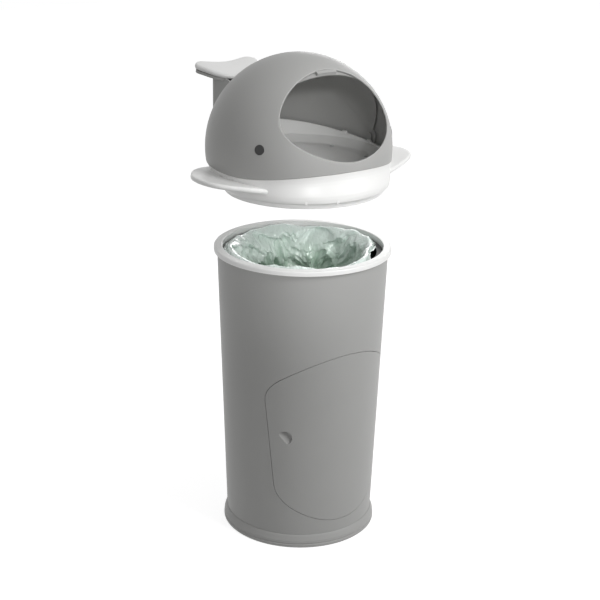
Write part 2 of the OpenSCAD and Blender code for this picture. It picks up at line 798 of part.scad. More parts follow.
module funnel() {
    t = funnel_t;
    r = funnel_r;
    step_r = 0.885 * funnel_r;
    inner_r = 0.745 * funnel_r;
    top_z = shoulder_z + 2.4 * seam_h;
    color(pale_grey)
    difference() {
        union() {
            translate([0, head_back, 0])
                rotate_extrude()
                    polygon([
                        [r - t, top_z],
                        [r - t, funnel_step_z + 5 * t],
                        [step_r, funnel_step_z + t / 2],
                        [step_r - t, funnel_step_z],
                        [inner_r, funnel_step_z],
                        [throat_r + 2 * t, throat_z + t],
                        [throat_r, throat_z],
                        [throat_r, lip_z],
                        [throat_r + t, lip_z],
                        [throat_r + t, throat_z - t],
                        [throat_r + 3 * t, throat_z],
                        [inner_r + t / 2, funnel_step_z - t],
                        [step_r + t / 2, funnel_step_z - t],
                        [r, funnel_step_z + 4.4 * t],
                        [r, top_z]
                    ]);
            for (s = [-1, 1])
                translate([s * 8 * flap_pin_r - t, flap_axis_y - 2 * flap_pin_r, flap_axis_z - 2 * flap_pin_r])
                    cube([2 * t, 4 * flap_pin_r, throat_z - flap_axis_z + 3.4 * flap_pin_r]);
        }
        translate([-far, 0, 0])
            rotate([90, 0, 90])
                linear_extrude(2 * far)
                    polygon(concat(
                        [for (i = [0:16]) let (y = head_back + 1.2 * dome_r * (i / 8 - 1)) [y, rim_z(y)]],
                        [[head_back + 1.2 * dome_r, dome_z + far], [head_back - 1.2 * dome_r, dome_z + far]]
                    ));
        for (p = post_places)
            translate([p[0], p[1], funnel_step_z - 2 * t])
                cylinder(r = post_r / 3 + slack, h = 4 * t);
        translate([-far / 2, flap_axis_y, flap_axis_z])
            rotate([0, 90, 0])
                cylinder(r = flap_pin_r + slack / 3, h = far);
    }
}

module funnel_screws() {
    color(steel)
    for (p = post_places)
        translate([p[0], p[1], funnel_step_z + 1.2 * funnel_t])
            rotate([180, 0, 0])
                screw(post_r / 3 - slack / 3, 0.62 * post_r, 1.1 * funnel_t, 5 * post_r);
}

// Flap under the throat: a disc with two knuckles at the back
flap_axis_y = head_back + throat_r + 9 * flap_pin_r;
flap_axis_z = lip_z - 1.4 * flap_t;
flap_r = throat_r + 0.5 * funnel_t;

module drop_flap() {
    knuckle_r = 1.9 * flap_pin_r;
    color(pale_grey)
    difference() {
        union() {
            translate([0, head_back, lip_z - slack - flap_t])
                cylinder(r = flap_r, h = flap_t);
            translate([0, head_back, lip_z - slack - 2 * flap_t])
                difference() {
                    cylinder(r = 0.8 * flap_r, h = 1.5 * flap_t);
                    translate([0, 0, -over])
                        cylinder(r = 0.77 * flap_r, h = 2 * flap_t + over);
                }
            for (s = [-1, 1])
                translate([s * 12.4 * flap_pin_r - 2 * flap_pin_r, 0, 0]) {
                    translate([0, flap_axis_y, flap_axis_z])
                        rotate([0, 90, 0])
                            cylinder(r = knuckle_r, h = 4 * flap_pin_r);
                    translate([0, head_back + 0.75 * flap_r, lip_z - slack - flap_t - flap_pin_r])
                        cube([4 * flap_pin_r, flap_axis_y - head_back - 0.75 * flap_r, flap_pin_r + flap_t / 2]);
                }
        }
        translate([-far / 2, flap_axis_y, flap_axis_z])
            rotate([0, 90, 0])
                cylinder(r = flap_pin_r + slack / 3, h = far);
    }
}

module flap_pin() {
    length = 31 * flap_pin_r;
    color(steel)
    translate([-length / 2, flap_axis_y, flap_axis_z])
        rotate([0, 90, 0]) {
            cylinder(r = flap_pin_r, h = length);
            cylinder(r = 1.6 * flap_pin_r, h = 0.5 * flap_pin_r);
        }
}

// Coil that closes the flap, wound round the pin between the funnel's lugs
module flap_spring() {
    wire = 0.3 * flap_pin_r;
    coil_in_r = flap_pin_r + 0.6 * wire;
    turns = 9;
    bulge = 75;
    color(steel)
    translate([0, flap_axis_y, flap_axis_z]) {
        rotate([0, 90, 0])
            rotate_extrude()
                polygon(concat(
                    [[coil_in_r, turns * wire], [coil_in_r, -turns * wire]],
                    [
                        for (i = [0:turns - 1])
                            each arc([coil_in_r + wire, (2 * i + 1 - turns) * wire], wire, -bulge, bulge, 6)
                    ]
                ));
        translate([-7.5 * wire, coil_in_r + wire, 0])
            cylinder(r = 0.9 * wire, h = throat_z - flap_axis_z - funnel_t);
    }
}

// Dome: a ball's shell with the mouth cut through it along a raised axis
module mouth_prism() {
    bend = 1.83;
    outline = [
        for (i = [0:47])
            let (a = 360 * i / 48, c = cos(a), s = sin(a))
            [
                mouth_w_share * dome_r * sign(c) * pow(abs(c), 2 / bend),
                -mouth_sink + mouth_h_share * dome_r * sign(s) * pow(abs(s), 2 / bend)
            ]
    ];
    translate([0, head_back, dome_z])
        rotate([90 - mouth_tilt, 0, 0])
            linear_extrude(far)
                polygon(outline);
}

tail_screw_zs = [shoulder_z + 0.5 * dome_r, shoulder_z + 0.66 * dome_r];

module dome() {
    color(grey)
    difference() {
        translate([0, head_back, dome_z])
            sphere(r = dome_r);
        translate([0, head_back, dome_z])
            sphere(r = inner_r);
        seam_prism(0);
        mouth_prism();
        for (s = [0, 180])
            translate([0, head_back, dome_z])
                rotate([0, 90, s])
                    translate([0, 0, inner_r - over])
                        cylinder(r = visor_pin_r + slack / 3, h = over + 0.6 * shell_t);
        for (s = [-1, 1])
            eye_frame(s)
                translate([0, 0, inner_r - over])
                    cylinder(r = 0.4 * eye_r, h = far);
        for (z = tail_screw_zs)
            translate([0, head_back, z])
                rotate([-90, 0, 0])
                    cylinder(r = 0.3 * shell_t * 2, h = far);
    }
}

// Visor: a second shell that turns inside the dome about the line through its ears
module visor() {
    a0 = 180 - visor_front_angle;
    a1 = a0 - visor_span_angle;
    tab_angle = 2.2;
    color(grey)
    difference() {
        translate([0, head_back, dome_z])
            union() {
                intersection() {
                    sphere(r = visor_out_r);
                    union() {
                        rotate([90, 0, 90])
                            linear_extrude(2 * far, center = true)
                                polygon(concat([[0, 0]], arc([0, 0], far, a1, a0, 6)));
                        for (s = [0, 180])
                            rotate([0, 90, s])
                                cylinder(r = visor_ear_r, h = far);
                    }
                }
                intersection() {
                    sphere(r = dome_r + 0.3 * shell_t);
                    translate([-tab_half_w, 0, 0])
                        rotate([90, 0, 90])
                            linear_extrude(2 * tab_half_w)
                                polygon(concat([[0, 0]], arc([0, 0], far, a0 - tab_angle, a0, 2)));
                }
            }
        translate([0, head_back, dome_z])
            sphere(r = visor_out_r - visor_t);
        translate([-far, head_back, dome_z])
            rotate([0, 90, 0])
                cylinder(r = visor_pin_r + slack / 3, h = 2 * far);
    }
}

// Headed pivots through the visor's ears into the dome's wall
module visor_pivots() {
    x0 = visor_out_r - visor_t - 2 * slack;
    color(dark_grey)
    for (s = [0, 180])
        translate([0, head_back, dome_z])
            rotate([0, 90, s]) {
                cylinder_between(visor_pin_r, x0 - over, inner_r + 0.5 * shell_t);
                cylinder_between(1.6 * visor_pin_r, x0 - 1.2 * visor_t - over / 2, x0 - over / 2);
            }
}

module cylinder_between(r, z0, z1) {
    translate([0, 0, z0])
        cylinder(r = r, h = z1 - z0);
}

// Turns +Z outward through an eye; s is 1 at the left, -1 at the right
eye_turn = 58.4;
eye_up = 9.8;
module eye_frame(s) {
    translate([0, head_back, dome_z])
        rotate([0, 0, s * eye_turn])
            rotate([90 - eye_up, 0, 0])
                children();
}

module eye(s) {
    color(black)
    eye_frame(s) {
        intersection() {
            difference() {
                sphere(r = dome_r + 0.2 * eye_r);
                sphere(r = dome_r + slack / 2);
            }
            cylinder_between(eye_r, 0, far);
        }
        cylinder_between(0.38 * eye_r, inner_r - visor_gap / 2, dome_r + 0.1 * eye_r);
    }
}

module left_eye() {
    eye(1);
}

module right_eye() {
    eye(-1);
}

// Fin outline: shares of the way from its rear end forward, and from the tray out to its tip
fin_shares = [
    [1, -0.366], [0.962, -0.041], [0.918, 0.268], [0.869, 0.561], [0.809, 0.805], [0.721, 0.951],
    [0.601, 1], [0.481, 0.935], [0.366, 0.74], [0.262, 0.528], [0.175, 0.268], [0.109, -0.008],
    [0.055, -0.333], [0.02, -0.6]
];
module fin(s) {
    outline = concat(
        smooth_line([
            for (p = fin_shares)
                [s * (body_top_r + p[1] * fin_len), fin_rear - p[0] * (fin_rear + fin_front)]
        ], 3),
        [[s * 0.6 * body_top_r, 0.9 * fin_rear], [s * 0.6 * body_top_r, -fin_front]]
    );
    root_z = shoulder_z + fin_h;
    color(white)
    difference() {
        translate([s * body_top_r, 0, root_z])
            rotate([0, -s * fin_lift_angle, 0])
                translate([-s * body_top_r, 0, 0])
                    linear_extrude(fin_t)
                        polygon(outline);
        tray_wall_ring(2 * slack);
        for (t = [-1, 1])
            translate([0, fin_axis_y + t * fin_screw_y, fin_screw_z])
                rotate([0, s * 90, 0])
                    cylinder(r = fin_screw_r, h = fin_screw_x + 1.5 * fin_t);
    }
}

module left_fin() {
    fin(1);
}

module right_fin() {
    fin(-1);
}

module fin_screws() {
    color(steel)
    for (p = fin_screw_places)
        translate([p[0] * (fin_screw_x - 3.2 * shell_t), fin_axis_y + p[1] * fin_screw_y, fin_screw_z])
            rotate([0, p[0] * 90, 0])
                screw(fin_screw_r - slack / 3, 2 * fin_screw_r, 0.7 * shell_t, 3.2 * shell_t + 1.2 * fin_t);
}

// Tail stem seen from the side: shares of the fluke's back behind the dome, and of its height
stem_shares = [
    [0.62, 0.27], [0.7, 0.305], [0.757, 0.342], [0.81, 0.378], [0.853, 0.419], [0.888, 0.467],
    [0.912, 0.523], [0.94, 0.645], [0.948, 0.755], [0.95, 0.9], [0.955, 0.97]
];
front_shares = [[0.71, 0.935], [0.677, 0.858], [0.63, 0.755], [0.58, 0.66]];

function stem_points(shares) =
    smooth_line([for (p = shares) [p[0] * fluke_back, shoulder_z + p[1] * fluke_h]], 3);

// A line moved to its left by a distance
function moved_line(p, distance) = [
    for (i = [0:len(p) - 1])
        let (d = p[min(i + 1, len(p) - 1)] - p[max(i - 1, 0)])
        p[i] + distance * [-d[1], d[0]] / norm(d)
];

// The stem as a block, drawn in by inset
module stem_block(inset) {
    back = moved_line(stem_points(stem_shares), inset);
    front = moved_line(stem_points(front_shares), inset);
    top_z = shoulder_z + fluke_h + 2 * fluke_cover_t;
    half_w = stem_half_w - inset;
    corner_x = stem_half_w - stem_corner_r;
    corner_y = 0.945 * fluke_back - stem_corner_r;
    intersection() {
        rotate([90, 0, 90])
            linear_extrude(2 * half_w, center = true)
                polygon(concat(back, [[back[len(back) - 1][0], top_z], [front[0][0], top_z]], front));
        linear_extrude(top_z)
            polygon(concat(
                [[half_w, dome_r / 2]],
                arc([corner_x, corner_y], stem_corner_r - inset, 0, 90, 8),
                arc([-corner_x, corner_y], stem_corner_r - inset, 90, 180, 8),
                [[-half_w, dome_r / 2]]
            ));
    }
}

fluke_shares = [
    [0, 0], [0.2, 0.02], [0.39, 0.09], [0.55, 0.17], [0.69, 0.28], [0.81, 0.42], [0.91, 0.6],
    [0.985, 0.73], [1, 0.8], [0.97, 0.87], [0.88, 0.955], [0.75, 1], [0.58, 0.985], [0.35, 0.955],
    [0.15, 0.94], [0, 0.935]
];

// Puts the fluke's sheet at its place and tilt, top face at z = 0
module fluke_frame() {
    translate([0, (fluke_front + fluke_back) / 2, shoulder_z + fluke_h])
        rotate([fluke_tilt, 0, 0])
            children();
}

function fluke_outline(inset) =
    let (
        half = smooth_line([
            for (p = fluke_shares)
                [p[0] * (fluke_half_w - inset),
                    -fluke_len / 2 + inset + p[1] * (fluke_len - 2 * inset)]
        ], 3)
    )
    concat(half, [for (i = [len(half) - 2:-1:1]) [-half[i][0], half[i][1]]]);

// Hollow stem and the strip under the fluke, open at the top; bosses inside take the screws
module tail_body() {
    strip_t = 0.6 * fluke_cover_t;
    color(grey)
    difference() {
        union() {
            difference() {
                union() {
                    stem_block(0);
                    fluke_frame()
                        translate([0, 0, -fluke_cover_t - strip_t - slack])
                            linear_extrude(strip_t)
                                polygon(fluke_outline(0.4 * strip_t));
                }
                difference() {
                    stem_block(shell_t);
                    translate([0, head_back, dome_z])
                        sphere(r = dome_r + slack + shell_t);
                }
            }
            for (z = tail_screw_zs)
                translate([0, head_back + 0.9 * dome_r, z])
                    rotate([-90, 0, 0])
                        cylinder(r = 1.4 * shell_t, h = 0.1 * dome_r + 4 * shell_t);
        }
        fluke_frame()
            translate([-far, -far, -fluke_cover_t - slack])
                cube([2 * far, 2 * far, far]);
        translate([0, head_back, dome_z])
            sphere(r = dome_r + slack);
        for (z = tail_screw_zs)
            translate([0, head_back, z])
                rotate([-90, 0, 0])
                    cylinder(r = 0.5 * shell_t, h = dome_r + 5 * shell_t);
    }
}

module tail_cover() {
    color(white)
    fluke_frame()
        union() {
            translate([0, 0, -fluke_cover_t])
                linear_extrude(0.75 * fluke_cover_t)
                    polygon(fluke_outline(0));
            translate([0, 0, -fluke_cover_t])
                linear_extrude(fluke_cover_t)
                    polygon(fluke_outline(0.25 * fluke_cover_t));
        }
}

module tail_screws() {
    color(steel)
    for (z = tail_screw_zs)
        let (y = sqrt(inner_r * inner_r - pow(z - dome_z, 2)))
        translate([0, head_back + y - 1.1 * shell_t, z])
            rotate([-90, 0, 0])
                screw(0.5 * shell_t - slack / 3, shell_t, 0.7 * shell_t, 5.5 * shell_t);
}

bin_shell();
foot_ring();
base_plate();
base_screws();
collar();
bag_ring();
liner_bag();
door_panel();
hinge_arms();
hinge_brackets();
hinge_pins();
catch_bracket();
catch_magnet();
catch_disc();
head_tray();
funnel();
funnel_screws();
drop_flap();
flap_pin();
flap_spring();
dome();
visor();
visor_pivots();
left_eye();
right_eye();
left_fin();
right_fin();
fin_screws();
tail_body();
tail_cover();
tail_screws();
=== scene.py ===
import json
import math

import bmesh
import bpy
import numpy as np
from mathutils import Matrix, Vector


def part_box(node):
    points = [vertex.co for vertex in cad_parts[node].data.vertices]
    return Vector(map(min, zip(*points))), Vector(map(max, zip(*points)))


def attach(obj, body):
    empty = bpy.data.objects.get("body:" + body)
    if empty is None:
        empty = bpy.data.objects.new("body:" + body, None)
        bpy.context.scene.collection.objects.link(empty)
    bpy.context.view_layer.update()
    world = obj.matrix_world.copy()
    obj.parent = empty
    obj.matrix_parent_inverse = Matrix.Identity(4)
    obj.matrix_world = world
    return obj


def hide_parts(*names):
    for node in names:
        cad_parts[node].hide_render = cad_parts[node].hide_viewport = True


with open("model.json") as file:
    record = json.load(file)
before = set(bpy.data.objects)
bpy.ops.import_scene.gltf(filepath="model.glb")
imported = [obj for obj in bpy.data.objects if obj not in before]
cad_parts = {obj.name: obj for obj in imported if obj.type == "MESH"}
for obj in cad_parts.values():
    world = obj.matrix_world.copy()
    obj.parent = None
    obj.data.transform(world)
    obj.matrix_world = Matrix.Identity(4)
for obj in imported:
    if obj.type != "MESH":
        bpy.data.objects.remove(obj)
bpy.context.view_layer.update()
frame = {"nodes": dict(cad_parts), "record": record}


# Camera where the photograph was taken: before the whale and to its right, looking down.
# It has the photograph's narrow field and its slight roll.
def set_camera():
    data = bpy.data.cameras.new("camera")
    data.sensor_width = 36.0
    data.lens = 84.26
    data.clip_start = 0.1
    data.clip_end = 50.0
    cam = bpy.data.objects.new("camera", data)
    bpy.context.scene.collection.objects.link(cam)
    turn = math.radians(35.0)
    pitch = math.radians(19.576)
    roll = math.radians(0.9275)
    beside, behind, height = -0.0031, -2.2035, 1.1774
    place = Vector((
        beside * math.cos(turn) + behind * math.sin(turn),
        -beside * math.sin(turn) + behind * math.cos(turn),
        height,
    ))
    right = Vector((math.cos(turn), -math.sin(turn), 0.0))
    ahead = Vector((
        math.sin(turn) * math.cos(pitch), math.cos(turn) * math.cos(pitch), -math.sin(pitch)
    ))
    up = right.cross(ahead)
    level = right * math.cos(roll) + up * math.sin(roll)
    lift = up * math.cos(roll) - right * math.sin(roll)
    cam.matrix_world = Matrix((
        (level.x, lift.x, -ahead.x, place.x),
        (level.y, lift.y, -ahead.y, place.y),
        (level.z, lift.z, -ahead.z, place.z),
        (0.0, 0.0, 0.0, 1.0),
    ))
    bpy.context.scene.camera = cam


set_camera()


# Shell, door, foot and base: one grey polypropylene, moulded with a satin face.
# Its colour drifts a little, its gloss is uneven and its face is finely grained.
def moulded(name, colour, rough, drift=0.012, grain=0.25, grain_size=0.0011):
    """Colour and gloss follow one wide noise, each a little to both sides of its middle.
    The relief is a second noise, of the grain's size."""
    mat = bpy.data.materials.new(name)
    mat.use_nodes = True
    nodes, links = mat.node_tree.nodes, mat.node_tree.links
    bsdf = nodes["Principled BSDF"]
    coord = nodes.new("ShaderNodeTexCoord")
    coord.name = "coord"
    cloud = nodes.new("ShaderNodeTexNoise")
    cloud.name = "cloud"
    cloud.inputs["Scale"].default_value = 14.0
    cloud.inputs["Detail"].default_value = 4.0
    tint = nodes.new("ShaderNodeMixRGB")
    tint.name = "tint"
    tint.inputs[1].default_value = [max(c - drift, 0.0) for c in colour] + [1.0]
    tint.inputs[2].default_value = [min(c + drift, 1.0) for c in colour] + [1.0]
    gloss = nodes.new("ShaderNodeMapRange")
    gloss.inputs["To Min"].default_value = rough - 0.05
    gloss.inputs["To Max"].default_value = rough + 0.05
    pits = nodes.new("ShaderNodeTexNoise")
    pits.name = "pits"
    pits.inputs["Scale"].default_value = 1.0 / grain_size
    pits.inputs["Detail"].default_value = 2.0
    relief = nodes.new("ShaderNodeBump")
    relief.name = "relief"
    relief.inputs["Strength"].default_value = grain
    relief.inputs["Distance"].default_value = 0.00012
    links.new(coord.outputs["Object"], cloud.inputs["Vector"])
    links.new(coord.outputs["Object"], pits.inputs["Vector"])
    links.new(cloud.outputs["Fac"], tint.inputs["Fac"])
    links.new(cloud.outputs["Fac"], gloss.inputs["Value"])
    links.new(tint.outputs["Color"], bsdf.inputs["Base Color"])
    links.new(gloss.outputs["Result"], bsdf.inputs["Roughness"])
    links.new(pits.outputs["Fac"], relief.inputs["Height"])
    links.new(relief.outputs["Normal"], bsdf.inputs["Normal"])
    return mat


def finish_nodes(slot, mat):
    """The material goes on each CAD node of its slot. The two offsets keep the facets of
    those meshes from showing where light turns to shade."""
    for part in frame["record"]["subparts"]:
        if part["material_slot"] == slot:
            piece = frame["nodes"][part["node"]]
            piece.data.materials.clear()
            piece.data.materials.append(mat)
            piece.cycles.shadow_terminator_geometry_offset = 0.1
            piece.cycles.shadow_terminator_offset = 0.1


grey = moulded("grey_shell", (0.38, 0.38, 0.372), 0.45)
grey.node_tree.nodes["Principled BSDF"].inputs["Specular IOR Level"].default_value = 0.35
finish_nodes("grey_shell", grey)


# Hinge pins, screws, catch disc, flap pin and spring: zinc-plated steel, drawn fine.
# The plating is smooth, with faint upright streaks and a cloudy gloss.
def plated(name, colour, rough):
    """A moulded face made metal, with its fine noise drawn out along Z."""
    mat = moulded(name, colour, rough, drift=0.05, grain=0.15, grain_size=0.0006)
    nodes, links = mat.node_tree.nodes, mat.node_tree.links
    nodes["Principled BSDF"].inputs["Metallic"].default_value = 1.0
    streak = nodes.new("ShaderNodeMapping")
    streak.inputs["Scale"].default_value = (1.0, 1.0, 0.08)
    links.new(nodes["coord"].outputs["Object"], streak.inputs["Vector"])
    links.new(streak.outputs["Vector"], nodes["pits"].inputs["Vector"])
    return mat


finish_nodes("steel", plated("steel", (0.56, 0.56, 0.57), 0.30))

# Catch magnet and visor pivots: a near-black disc behind the door's free edge, and two
# pins moulded a shade darker than the dome
finish_nodes("magnet", moulded("magnet", (0.05, 0.05, 0.052), 0.35, drift=0.01))
finish_nodes("pivot_plastic", moulded("pivot_plastic", (0.36, 0.36, 0.352), 0.45, drift=0.01))


# Collar: white polypropylene ring, glossier than the grey, snapped over the shell's edge.
# The tray, the fins and the fluke are moulded in the same white.
white = moulded("white_plastic", (0.83, 0.83, 0.82), 0.33, drift=0.008, grain=0.15)
finish_nodes("white_plastic", white)

# Bag ring: matt black moulding that holds the bag's rim. It rests on the collar's ledge
# and shows only where the film has slipped in.
finish_nodes("black_ring", moulded("black_ring", (0.018, 0.018, 0.018), 0.5, drift=0.006))


# Bag: thin mint-green film, folded over the ring, crumpled at its mouth and gathered in
# long pleats where it hangs. One skin, worked out round the bin's axis and down its length.
def smooth_line(points, steps):
    """Points along a line through the given ones: each stretch is the cubic whose end
    slopes are half the step from the point before to the point after."""
    p = np.asarray(points, float)
    p = np.vstack([p[:1], p, p[-1:]])
    t = np.linspace(0.0, 1.0, steps, endpoint=False)[None, :, None]
    a, b, c, d = (p[i:len(p) - 3 + i, None, :] for i in range(4))
    line = b + t * (c - a) / 2 + t ** 2 * (2 * a - 5 * b + 4 * c - d) / 2
    line = line + t ** 3 * (3 * b - a - 3 * c + d) / 2
    return np.vstack([line.reshape(-1, p.shape[1]), p[-1:]])


def fold(x):
    """A wave of straight slopes and sharp turns, from -1 to 1, once per unit of x."""
    return 4.0 * np.abs(x - np.floor(x + 0.5)) - 1.0


def ring_faces(rows, columns, closed_rows=False):
    """Squares between neighbouring rows of a grid whose columns run round in a loop."""
    last = rows if closed_rows else rows - 1
    i, j = np.meshgrid(np.arange(last), np.arange(columns), indexing="ij")
    below, beside = (i + 1) % rows, (j + 1) % columns
    corners = np.stack([
        i * columns + j, i * columns + beside, below * columns + beside, below * columns + j
    ], axis=-1)
    return corners.reshape(-1, 4).tolist()


def make_piece(name, points, faces, mat, body, slot, stands_for=()):
    """A smooth mesh piece with its faces turned outwards, on its body."""
    mesh = bpy.data.meshes.new(name)
    mesh.from_pydata(np.asarray(points).reshape(-1, 3).tolist(), [], faces)
    shape = bmesh.new()
    shape.from_mesh(mesh)
    bmesh.ops.remove_doubles(shape, verts=shape.verts, dist=1e-6)
    bmesh.ops.dissolve_degenerate(shape, edges=shape.edges, dist=1e-7)
    bmesh.ops.recalc_face_normals(shape, faces=shape.faces)
    shape.to_mesh(mesh)
    shape.free()
    mesh.shade_smooth()
    mesh.materials.append(mat)
    piece = bpy.data.objects.new(name, mesh)
    bpy.context.scene.collection.objects.link(piece)
    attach(piece, body)
    if stands_for:
        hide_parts(*stands_for)
    return piece


bag_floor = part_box("liner_bag")[0][2]
ring_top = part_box("bag_ring")[1][2]
bag_line = smooth_line([
    (0.1300, ring_top + 0.0006), (0.1272, ring_top + 0.0010), (0.1250, ring_top + 0.0042),
    (0.1225, ring_top + 0.0072), (0.1180, ring_top + 0.0062), (0.1142, ring_top - 0.0010),
    (0.1108, ring_top - 0.0130), (0.1070, ring_top - 0.0330), (0.1020, ring_top - 0.0600),
    (0.0960, ring_top - 0.0950), (0.0880, ring_top - 0.1450), (0.0800, ring_top - 0.1950),
    (0.0770, ring_top - 0.2450), (0.0770, ring_top - 0.3050), (0.0760, bag_floor + 0.075),
    (0.0710, bag_floor + 0.035), (0.0520, bag_floor + 0.012), (0.0220, bag_floor + 0.004),
    (0.0010, bag_floor + 0.003),
], 12)
# The rows stay close together at the mouth. Below it every fifth is enough.
mouth_rows = 102
bag_line = np.vstack([bag_line[:mouth_rows], bag_line[mouth_rows::5], bag_line[-1:]])
bag_columns = 400
# Each row holds a pair of crossing folds that meet in a ridge: for each, the folds round
# the bag, the folds per metre down it and its start; then the ridge's depth in metres
creases = [
    ((6, 13.0, 0.13), (-9, 21.0, 0.71), 0.0050), ((13, 9.0, 0.37), (-11, -27.0, 0.90), 0.0040),
    ((17, 30.0, 0.44), (-19, 24.0, 0.55), 0.0030), ((15, -47.0, 0.20), (27, 11.0, 0.66), 0.0020),
    ((-33, 39.0, 0.05), (29, 44.0, 0.82), 0.0013), ((43, -61.0, 0.31), (-47, 52.0, 0.48), 0.0009),
    ((59, 35.0, 0.60), (-37, -78.0, 0.26), 0.0006),
]


def crumpled_bag():
    """The line of the bag's side turned about Z, then moved in and out by straight-sided
    creases, of which the higher of each pair shows, by pleats that deepen as the bag narrows,
    and up and down at its crest. The creases' own coordinates are bent first, so none runs
    straight."""
    around = np.linspace(0.0, 2.0 * np.pi, bag_columns, endpoint=False)[None, :]
    radius, height = bag_line[:, :1], bag_line[:, 1:]
    steps = np.linalg.norm(np.diff(bag_line, axis=0), axis=1)
    down = np.concatenate([[0.0], np.cumsum(steps)])[:, None]
    turn = around + 0.11 * np.sin(3 * around + 31.0 * down)
    turn += 0.05 * np.sin(7 * around - 57.0 * down)
    along = down + 0.011 * np.sin(4 * around + 1.3) + 0.006 * np.sin(9 * around + 43.0 * down)
    crumple = np.zeros((len(radius), bag_columns))
    for one, other, depth in creases:
        pair = [
            fold(count * turn / (2 * np.pi) + rate * along + start)
            for count, rate, start in (one, other)
        ]
        crumple -= depth * (np.maximum(*pair) - 0.33)
    # Taut on the ring, fully slack from 28 mm down the film. Creases die out at the bottom
    slack = np.clip((down - 0.006) / 0.022, 0.0, 1.0)
    slack = slack * slack * (3 - 2 * slack)
    foot = np.clip(radius / 0.05, 0.0, 1.0)
    # Pleats take over from creases as the bag narrows and hangs
    narrow = np.clip((0.121 - radius) / 0.044, 0.0, 1.0)
    pleat = 0.0030 * fold(19 * turn / (2 * np.pi) + 0.3) + 0.0016 * fold(31 * turn / (2 * np.pi))
    upper = 0.35 + 0.65 * np.clip((height - (ring_top - 0.17)) / 0.05, 0.0, 1.0)
    moved = slack * foot * (upper * (crumple - 0.0062) + narrow * pleat)
    # The ring shows where the rim has slipped in, near the whale's left front
    slip_at, slip_width, slip_depth = math.radians(-44.0), 0.32, 0.0175
    gap = np.exp(-((np.angle(np.exp(1j * (around - slip_at))) / slip_width) ** 2))
    # The folded rim is ruffled, and its crest rises and falls
    rim = np.clip(1.0 - down / 0.014, 0.0, 1.0)
    ruffle = 0.0009 * fold(29 * turn / (2 * np.pi)) + 0.0007 * fold(47 * turn / (2 * np.pi) + 0.2)
    crest = np.exp(-(((down - 0.012) / 0.009) ** 2))
    billow = 0.0022 * np.sin(5 * around + 0.7) + 0.0014 * fold(13 * turn / (2 * np.pi))
    slip = np.clip(1.0 - down / 0.05, 0.0, 1.0)
    r = radius + moved - rim * (0.0006 + ruffle) - slip_depth * slip * gap
    z = height + crest * (billow - 0.0008) * (1.0 - gap)
    z += 0.5 * slack * foot * upper * (crumple - 0.001)
    # The tray's skirt comes down between film and collar, so no crease stands out to it
    widest_r = 0.1252
    r = np.where(z > ring_top + 0.0014, np.minimum(r, widest_r), r)
    points = np.stack([r * np.cos(around), r * np.sin(around), z], axis=-1)
    return points, ring_faces(len(radius), bag_columns)


def film_material():
    """Film that passes a little light: paler near the rim, where it is bunched, and darker green
    further down, which is painted shade of the bag's depth, and crinkled all over by creases
    too small for the mesh, which run along the borders of two sizes of tall cells."""
    mat = moulded("bag_film", (0.60, 0.73, 0.65), 0.17, grain=0.9)
    nodes, links = mat.node_tree.nodes, mat.node_tree.links
    bsdf = nodes["Principled BSDF"]
    bsdf.inputs["Transmission Weight"].default_value = 0.08
    bsdf.inputs["Specular IOR Level"].default_value = 0.9
    bsdf.inputs["Coat Weight"].default_value = 0.6
    bsdf.inputs["Coat Roughness"].default_value = 0.12
    bsdf.inputs["IOR"].default_value = 1.40
    coord, cloud, tint, relief = (nodes[name] for name in ("coord", "cloud", "tint", "relief"))
    nodes.remove(nodes["pits"])
    relief.inputs["Distance"].default_value = 0.0050
    stretch = nodes.new("ShaderNodeMapping")
    stretch.inputs["Scale"].default_value = (1.0, 1.0, 0.42)
    links.new(coord.outputs["Object"], stretch.inputs["Vector"])
    cells = []
    for density, height in ((60.0, 0.7), (165.0, 0.3)):
        cell = nodes.new("ShaderNodeTexVoronoi")
        cell.feature = "DISTANCE_TO_EDGE"
        cell.inputs["Scale"].default_value = density
        share = nodes.new("ShaderNodeMath")
        share.operation = "MULTIPLY"
        share.inputs[1].default_value = height
        links.new(stretch.outputs["Vector"], cell.inputs["Vector"])
        links.new(cell.outputs["Distance"], share.inputs[0])
        cells.append(share)
    total = nodes.new("ShaderNodeMath")
    total.operation = "ADD"
    links.new(cells[0].outputs[0], total.inputs[0])
    links.new(cells[1].outputs[0], total.inputs[1])
    links.new(total.outputs[0], relief.inputs["Height"])
    # Painted shade: by height, the colour goes from a pale mint at the rim to the darker tint lower
    # down, as if shade deepened inside the bag
    place = nodes.new("ShaderNodeSeparateXYZ")
    depth = nodes.new("ShaderNodeMapRange")
    depth.inputs["From Min"].default_value = ring_top - 0.085
    depth.inputs["From Max"].default_value = ring_top + 0.004
    rim = nodes.new("ShaderNodeMixRGB")
    rim.inputs[2].default_value = (0.86, 0.97, 0.92, 1.0)
    cloud.inputs["Scale"].default_value = 26.0
    tint.inputs[1].default_value = (0.10, 0.40, 0.14, 1.0)
    tint.inputs[2].default_value = (0.98, 1.0, 1.0, 1.0)
    links.new(coord.outputs["Object"], place.inputs["Vector"])
    links.new(place.outputs["Z"], depth.inputs["Value"])
    links.new(depth.outputs["Result"], rim.inputs["Fac"])
    links.new(tint.outputs["Color"], rim.inputs[1])
    links.new(rim.outputs["Color"], bsdf.inputs["Base Color"])
    return mat


film = film_material()
bag_points, bag_faces = crumpled_bag()
bag_bottom = bag_points[-1].mean(axis=0)
last_row = (len(bag_points) - 1) * bag_columns
bag_faces += [
    [last_row + j, last_row + (j + 1) % bag_columns, len(bag_points) * bag_columns]
    for j in range(bag_columns)
]
bag = make_piece(
    "bag", np.vstack([bag_points.reshape(-1, 3), bag_bottom[None, :]]), bag_faces,
    film, "bin", "bag_film", ["liner_bag"],
)
# The film keeps a hard line where it is folded sharply
bag.data.set_sharp_from_angle(angle=math.radians(24.0))
skin = bag.modifiers.new("skin", "SOLIDIFY")
skin.thickness = 0.0003
skin.offset = -1.0


